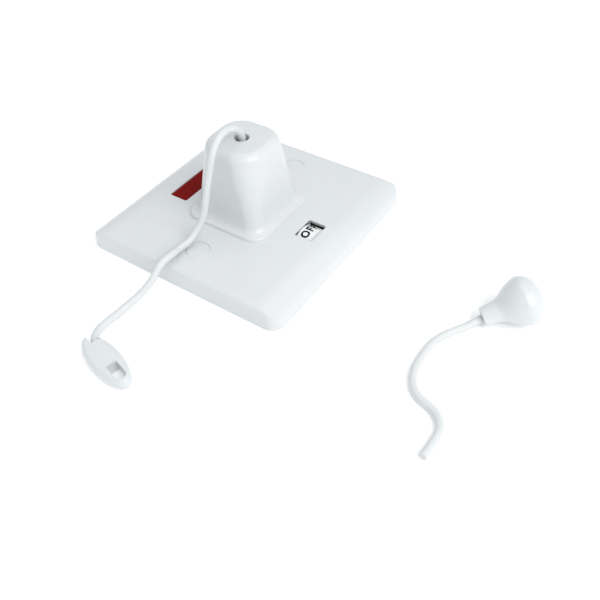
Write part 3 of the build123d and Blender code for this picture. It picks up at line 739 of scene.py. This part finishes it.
@dataclass
class Indicator:
    """The white faces and the legends on the two curved pads of the dark indicator slide."""

    x: Span = (24.52, 31.63)
    crown: float = 6.97
    radius: float = 9.0
    bevel_from: float = 29.4
    bevel_fall: float = 0.62
    pitch: float = 10.053
    stroke: float = 0.72
    letter_top: float = 25.55
    letter_size: float = 3.3
    # The white faces stop short of the pads' ends where the two pads meet. The black slide shows there along
    # the window's +Y edge as painted shade for the gap.
    faces: dict = field(default_factory=lambda: {Legend.OFF: (-4.93, 4.7), Legend.ON: (-4.4, 4.7)})
    starts: dict = field(default_factory=lambda: {Legend.OFF: (-3.45, 0.45, 2.85), Legend.ON: (-3.3, 0.7)})

    def skin(self, x: np.ndarray, y: np.ndarray, raised: float = 0.0) -> np.ndarray:
        """The pad's surface: a cylinder along X, with a slope cut along its +X end.

        Args:
            x: distances along X.
            y: distances from the pad's middle along Y.
            raised: how far above the surface.

        Returns:
            The points, an array (..., 3).
        """
        curve = self.crown - self.radius + np.sqrt(self.radius ** 2 - y ** 2)
        z = np.minimum(curve, self.crown - self.bevel_fall * (x - self.bevel_from))
        return np.stack([x, y, z + raised], -1)

    def pad(self, word: Legend, at: float) -> bpy.types.Object:
        """One pad's white face: a grid over the curve and the slope, with low upright sides.

        Args:
            word: the pad's word.
            at: the pad's middle along Y.

        Returns:
            The pad's face.
        """
        ring = rounded_square(1.0, 0.06, flat=28, arc=5)[0]
        scale = np.concatenate([[1], np.linspace(1, 0.02, 26)])
        corners = np.array([self.x, self.faces[word]])
        plan = scale[:, None, None] * ring[None] * np.diff(corners)[:, 0] / 2 + corners.mean(1)
        rings = self.skin(plan[..., 0], plan[..., 1])
        rings[0, :, 2] -= 0.6
        return ring_mesh("tool", rings + (0, at, 0))

    def line(self, start: Span, end: Span, at: float) -> bpy.types.Object:
        """A straight stroke of a letter: a thin strip that follows the pad.

        Args:
            start: the stroke's first end on the pad (x, y).
            end: its other end.
            at: the pad's middle along Y.

        Returns:
            The stroke.
        """
        share = np.linspace(0, 1, 12)[:, None]
        spine = np.array(start) * (1 - share) + np.array(end) * share
        way = np.array(end) - np.array(start)
        side = np.array([-way[1], way[0]]) / np.hypot(*way) * self.stroke / 2
        rings = [self.skin(*(spine + sign * side).T, raised) for sign, raised in
                 ((1, -0.05), (-1, -0.05), (-1, 0.03), (1, 0.03))]
        return ring_mesh("tool", np.stack(rings, 1) + (0, at, 0))

    def oval(self, y: float, width: float, at: float) -> bpy.types.Object:
        """The letter O: a strip between two rounded outlines.

        Args:
            y: the letter's low side along Y on the pad.
            width: its width.
            at: the pad's middle along Y.

        Returns:
            The letter.
        """
        centre = np.array([self.letter_top + self.letter_size / 2, y + width / 2])
        half = np.array([self.letter_size, width]) / 2
        ring = rounded_square(1.0, 0.86, flat=8, arc=12)[0]
        outer, inner = ring * half + centre, ring * (half - self.stroke) + centre
        rings = [self.skin(*plan.T, raised) for plan, raised in
                 ((outer, -0.05), (outer, 0.03), (inner, 0.03), (inner, -0.05))]
        return ring_mesh("tool", np.stack(rings) + (0, at, 0), joined=True)

    def letters(self, word: Legend, at: float) -> list[bpy.types.Object]:
        """The strokes of a word: its letters stand with their tops towards -X and read along +Y.

        Args:
            word: the word.
            at: the pad's middle along Y.

        Returns:
            The strokes.
        """
        top, foot, edge = self.letter_top, self.letter_top + self.letter_size, self.stroke / 2
        strokes = []
        for letter, y in zip(word.value, self.starts[word]):
            left, right = y + edge, y + 2.1
            if letter == "O":
                strokes.append(self.oval(y, 3.15, at))
            elif letter == "F":
                strokes.append(self.line((top, left), (foot, left), at))
                strokes.append(self.line((top + edge, left), (top + edge, right), at))
                strokes.append(self.line((top + 1.55, left), (top + 1.55, right - 0.35), at))
            elif letter == "N":
                far = y + 2.8 - edge
                strokes.append(self.line((top, left), (foot, left), at))
                strokes.append(self.line((top, far), (foot, far), at))
                strokes.append(self.line((top + edge, left), (foot - edge, far), at))
        return strokes

    def build(self, palette: Palette) -> list[bpy.types.Object]:
        """Makes the pads and their words, which ride on the indicator.

        Args:
            palette: the finishes.

        Returns:
            The pieces.
        """
        pieces = []
        for word, at in ((Legend.OFF, 0.0), (Legend.ON, self.pitch)):
            pad = self.pad(word, at)
            pad.name = f"{word.value.lower()}_pad"
            strokes = self.letters(word, at)
            text = strokes[0]
            text.name = f"{word.value.lower()}_legend"
            if strokes[1:]:
                reshape(text, [(Cut.ADD, stroke) for stroke in strokes[1:]])
            for piece, finish in ((pad, "pad white"), (text, "legend black")):
                palette.dress(piece, finish)
                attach(piece, "indicator")
                pieces.append(piece)
        return pieces


@dataclass
class ReturnSpring:
    """The compression spring over the pull slider, which shortens as the cord is pulled."""

    low: float
    high: float
    radius: float
    wire: float
    turns: float
    travel: float = 6.28

    def build(self, palette: Palette) -> bpy.types.Object:
        """Makes the coil, which stands for the CAD one: a circle carried along a helix.

        Args:
            palette: the finishes.

        Returns:
            The piece.
        """
        share = np.linspace(0, 1, int(self.turns * 40))
        angle = 2 * math.pi * self.turns * share
        climb = (self.high - self.low - self.wire) * share + self.low + self.wire / 2
        outward = np.stack([np.cos(angle), np.sin(angle), np.zeros_like(angle)], -1)
        wire = circle(self.wire / 2, 12)[0]
        spine = outward * self.radius + climb[:, None] * (0, 0, 1)
        rings = spine[:, None] + wire[:, 0, None] * outward[:, None] + wire[:, 1, None] * np.array([0, 0, 1])
        coil = ring_mesh("return_coil", rings)
        palette.dress(coil, "spring steel")
        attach(coil, "root")
        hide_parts("return_spring")
        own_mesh(coil)
        return coil


@dataclass
class Connector:
    """The flat eye on the upper cord's end, with a notch for that cord and a slot for the lower one."""

    centre: Span = (5.1, -82.5)
    turn: float = -14.7
    size: tuple[float, float, float] = (26.0, 9.9, 4.5)
    rim: float = 1.5
    notch: float = -8.3
    bore: float = 1.1
    slot: tuple[float, float, float] = (3.6, 9.05, 1.85)

    def place(self, points: np.ndarray) -> np.ndarray:
        """Turns and moves points from the eye's own frame to where it lies."""
        angle = math.radians(self.turn)
        cos, sin = math.cos(angle), math.sin(angle)
        spin = np.array([[cos, sin, 0], [-sin, cos, 0], [0, 0, 1]])
        return points @ spin + (*self.centre, 0)

    def outline(self, corners: list[Span]) -> bpy.types.Object:
        """A tool of the given outline, through the whole eye."""
        flat = np.repeat(np.array(corners, float)[None], 2, 0)
        return ring_mesh("tool", self.place(lift(flat, np.array([-1.0, self.size[2] + 1]))))

    def build(self, palette: Palette) -> bpy.types.Object:
        """Makes the eye, which stands for the CAD one.

        Its rings are ellipses. The rim goes from the lower face to the upper one as half an ellipse, and each
        face closes in shrinking rings, very slightly domed.

        Args:
            palette: the finishes.

        Returns:
            The piece.
        """
        length, width, thick = self.size
        turn = np.linspace(-math.pi / 2, math.pi / 2, 19)
        edge = self.rim * (1 - np.cos(turn))
        share = np.linspace(1, 0.02, 9)[1:]
        dome = 0.12 * (1 - share ** 2)
        level = thick / 2 + (thick / 2 - 0.12) * np.sin(turn)
        height = np.concatenate([0.12 - dome[::-1], level, thick - 0.12 + dome])
        half = [np.concatenate([(size / 2 - self.rim) * share[::-1], size / 2 - edge,
                                (size / 2 - self.rim) * share]) for size in (length, width)]
        plan = circle(1.0, 120) * np.stack(half, -1)[:, None]
        eye = ring_mesh("cord_connector_eye", self.place(lift(plan, height)))
        low, far, reach = self.slot
        tip = np.linspace(-math.pi / 2, math.pi / 2, 17)
        slot = [(low, reach), (low, -reach)] + [(far + reach * math.cos(a), reach * math.sin(a)) for a in tip]
        floor, roof = self.bore - 1.45, self.bore + 1.65
        notch = [(self.notch, floor), (self.notch, roof), (-9.4, roof), (-10.2, 5), (-14, 5), (-14, floor)]
        tube = circle(1.4, 32)[0]
        bore = np.stack([np.stack([np.full(32, u), self.bore + tube[:, 0], thick / 2 + tube[:, 1]], -1)
                         for u in (self.notch - 0.5, self.notch + 2.5)])
        reshape(eye, [(Cut.REMOVE, self.outline(slot)), (Cut.REMOVE, self.outline(notch)),
                      (Cut.REMOVE, ring_mesh("tool", self.place(bore)))])
        soften(eye, 0.16, 3)
        palette.dress(eye, "connector white")
        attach(eye, "slider")
        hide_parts("cord_connector")
        return eye


@dataclass
class Knob:
    """The pull knob: a turned shape with a neck, a trumpet flank and a low dome."""

    mouth: Point = (97.0, -2.6, 3.3)
    heading: float = 43.0
    tilt: float = 22.0
    length: float = 20.2
    bore: float = 2.3
    depth: float = 3.0
    neck: tuple[Span, ...] = ((0.0, 3.0), (0.3, 3.3), (2.0, 3.42), (4.2, 3.65), (5.7, 3.95), (7.1, 4.8),
                              (8.5, 5.95), (9.9, 6.9), (11.3, 7.6), (12.6, 8.1), (13.9, 8.4))

    def profile(self) -> tuple[np.ndarray, np.ndarray]:
        """The outline from the bore's floor, out over the mouth, along the flank and over the dome.

        The flank is a smooth curve through the neck's stations. The dome is a quarter of a superellipse.

        Returns:
            Distances along the axis, and radii.
        """
        station, radius = np.array(self.neck).T
        s = np.linspace(0, len(station) - 1, 60)
        blur = np.exp(-0.5 * ((s[:, None] - np.arange(-3, len(station) + 3)[None]) / 0.62) ** 2)
        blur /= blur.sum(1, keepdims=True)
        extend = [np.concatenate([2 * v[0] - v[3:0:-1], v, 2 * v[-1] - v[-2:-5:-1]])
                  for v in (station, radius)]
        along, out = blur @ extend[0], blur @ extend[1]
        keep = (along > 0.35) & (along < 13.6)
        turn = np.linspace(0.0, math.pi / 2, 26)
        start, belly = 13.9, 8.43
        dome = start + (self.length - start) * np.sin(turn)
        cap = belly * np.cos(turn) ** 0.92
        return (np.concatenate([[self.depth, self.depth, 0.12, 0.0, 0.0, 0.1, 0.3], along[keep], dome]),
                np.concatenate([[0.02, self.bore, self.bore, self.bore + 0.12, 2.95, 3.15, 3.27], out[keep],
                                np.clip(cap, 0.02, None)]))

    def build(self, palette: Palette) -> bpy.types.Object:
        """Spins the profile about the knob's axis. The piece stands for the CAD knob.

        Args:
            palette: the finishes.

        Returns:
            The piece.
        """
        along, radius = self.profile()
        tilt, heading = math.radians(self.tilt), math.radians(self.heading)
        level = math.cos(tilt)
        axis = np.array([level * math.cos(heading), level * math.sin(heading), math.sin(tilt)])
        side = np.cross(axis, (0, 0, 1))
        side /= np.linalg.norm(side)
        other = np.cross(axis, side)
        round_plan = circle(radius, 96)
        rings = (np.array(self.mouth) + along[:, None, None] * axis
                 + round_plan[..., :1] * side + round_plan[..., 1:] * other)
        knob = ring_mesh("turned_knob", rings)
        soften(knob, 0.0)
        palette.dress(knob, "knob white")
        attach(knob, "lower_pull")
        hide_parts("pull_knob")
        return knob


@dataclass
class Cord:
    """A limp white cord on one smooth curve."""

    name: str
    node: str
    body: str
    route: list[Point]
    length: float
    far_end: str
    end_pieces: list[str]
    diameter: float = 2.6

    def build(self, palette: Palette) -> bpy.types.Object:
        """Makes the cord, which stands for its CAD tube.

        Args:
            palette: the finishes.

        Returns:
            The piece.
        """
        curve = bpy.data.curves.new(self.name, "CURVE")
        curve.dimensions = "3D"
        curve.bevel_depth = self.diameter / 2 * MM
        curve.bevel_resolution = 8
        curve.use_fill_caps = True
        curve.resolution_u = 10
        spline = curve.splines.new("NURBS")
        spline.points.add(len(self.route) - 1)
        points = np.column_stack([np.array(self.route) * MM, np.ones(len(self.route))])
        spline.points.foreach_set("co", points.ravel())
        spline.order_u = 3
        spline.use_endpoint_u = True
        cord = bpy.data.objects.new(self.name, curve)
        bpy.context.scene.collection.objects.link(cord)
        palette.dress(cord, "cord white")
        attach(cord, self.body)
        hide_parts(self.node)
        return cord

    def declare(self, cord: bpy.types.Object, pieces: list[bpy.types.Object]) -> None:
        """Takes the cord and the pieces on its end, and does nothing with them."""


def cords() -> list[Cord]:
    """The two cords with their routes."""
    upper = [
        (0.0, 0.0, 30.0), (0.2, 0.2, 34.8), (0.0, -0.1, 39.4), (-0.4, -3.8, 43.2), (-0.6, -9.0, 44.2),
        (-0.2, -13.9, 42.2), (0.1, -16.8, 38.7), (-0.4, -17.9, 34.3), (-1.0, -19.5, 28.9),
        (-1.4, -21.1, 22.8),
        (-2.0, -22.7, 16.9), (-3.3, -25.3, 12.3), (-3.7, -29.6, 9.7), (-4.5, -34.4, 9.4), (-3.7, -39.2, 10.5),
        (-4.5, -44.6, 10.1), (-4.2, -49.2, 6.8), (-5.4, -54.2, 3.6), (-6.9, -60.4, 1.9), (-7.5, -66.8, 1.4),
        (-7.9, -72.7, 1.45), (-6.4, -76.5, 1.9), (-3.72, -79.04, 2.25), (-0.24, -79.96, 2.25),
    ]
    lower = [
        (99.5, -0.26, 4.15), (96.6, -3.1, 2.6), (94.1, -7.6, 1.5), (90.4, -12.8, 1.4), (87.7, -19.0, 1.4),
        (87.3, -26.1, 1.35), (87.8, -32.9, 1.35), (90.3, -38.5, 1.35), (94.3, -41.5, 1.35),
        (100.4, -42.8, 1.35),
        (104.3, -47.2, 1.35), (104.6, -53.1, 1.35), (104.1, -58.7, 1.35),
    ]
    return [
        Cord("upper_pull_cord", "upper_cord", "slider", upper, 119.0, "connector", ["cord_connector_eye"]),
        Cord("lower_pull_cord", "lower_cord", "lower_pull", lower, 70.5, "bare",
             ["turned_knob", "knob_knot"]),
    ]


# The studio


@dataclass
class Studio:
    """A pale floor, soft lights and the camera."""

    eye: Point = (137.7, -160.2, 171.0)
    right: Point = (0.8285, 0.5592, -0.0305)
    down: Point = (0.3838, -0.6065, -0.6963)
    forward: Point = (-0.4078, 0.5652, -0.7171)
    lens: float = 41.5

    def camera(self) -> None:
        """Makes the camera, which looks down on the switch from its front right."""
        data = bpy.data.cameras.new("camera")
        data.lens, data.sensor_width, data.clip_start = self.lens, 36.0, 0.01
        camera = bpy.data.objects.new("camera", data)
        bpy.context.scene.collection.objects.link(camera)
        axes = np.column_stack([self.right, np.negative(self.down), np.negative(self.forward)])
        camera.matrix_world = Matrix.Translation([v * MM for v in self.eye]) @ Matrix(axes.tolist()).to_4x4()
        bpy.context.scene.camera = camera

    def light(self, name: str, place: Point, size: float, power: float, colour: Colour = (1, 1, 1)) -> None:
        """A square soft light that looks at the switch.

        Args:
            name: the light's name.
            place: where it hangs, in metres.
            size: its side in metres.
            power: its power in watts.
            colour: its colour.
        """
        data = bpy.data.lights.new(name, "AREA")
        data.shape, data.size, data.energy, data.color = "SQUARE", size, power, colour
        lamp = bpy.data.objects.new(name, data)
        bpy.context.scene.collection.objects.link(lamp)
        lamp.location = place
        lamp.rotation_euler = Vector(place).to_track_quat("Z", "Y").to_euler()

    def floor(self) -> None:
        """A wide pale floor under the rim of the plate, very faintly mottled."""
        material = bpy.data.materials.new("floor")
        material.use_nodes = True
        tree = Tree(material.node_tree)
        where = tree.add("ShaderNodeTexCoord").outputs["Object"]
        tone = tree.add("ShaderNodeHueSaturation", Color=(0.93, 0.93, 0.93, 1.0),
                        Value=tree.spread(tree.noise(where, 3.0), 0.99, 1.01))
        shader = material.node_tree.nodes["Principled BSDF"]
        tree.join(tone.outputs["Color"], shader.inputs["Base Color"])
        shader.inputs["Roughness"].default_value = 0.9
        shader.inputs["Specular IOR Level"].default_value = 0.1
        shader.inputs["Emission Color"].default_value = (1.0, 1.0, 1.0, 1.0)
        shader.inputs["Emission Strength"].default_value = 0.15
        floor = brick((-4000, 4000), (-4000, 4000), (-20, -0.05))
        floor.name = "floor"
        floor.data.materials.append(material)

    def build(self) -> None:
        """Lights the scene: a bright sky, a large key from the window's side and a fill from the front."""
        world = bpy.data.worlds.new("sky")
        bpy.context.scene.world = world
        world.use_nodes = True
        background = world.node_tree.nodes["Background"]
        background.inputs["Color"].default_value = (0.95, 0.98, 1.0, 1.0)
        background.inputs["Strength"].default_value = 0.66
        self.light("key", (0.75, -0.15, 0.75), 0.8, 6.8, (1.0, 0.99, 0.975))
        self.light("top", (-0.1, 0.25, 1.0), 0.9, 2.0)
        self.light("fill", (-0.2, -0.9, 0.6), 0.8, 0.5, (0.97, 0.99, 1.0))
        self.floor()
        bpy.context.scene.view_settings.view_transform = "Standard"
        bpy.context.scene.view_settings.look = "None"


def main() -> None:
    """Builds the switch, dresses it and lights it."""
    logging.basicConfig(level=logging.INFO, format="%(name)s: %(message)s", stream=sys.stdout)
    studio = Studio()
    studio.camera()
    palette = Palette()
    made = [(cord, cord.build(palette)) for cord in cords()]
    palette.dress_nodes()
    spring = ReturnSpring(low=23.6, high=35.2, radius=3.1, wire=0.6, turns=6)
    for part in (FacePlate(), NeonLens(), Indicator(), spring, Connector(), Knob()):
        pieces = part.build(palette)
        for piece in pieces if isinstance(pieces, list) else [pieces]:
            log.info("%s with %d faces", piece.name, len(piece.data.polygons))
    for cord, piece in made:
        cord.declare(piece, [bpy.data.objects[name] for name in cord.end_pieces])
        log.info("%s, %.0f mm long", piece.name, cord.length)
    studio.build()


if __name__ == "__main__":
    main()
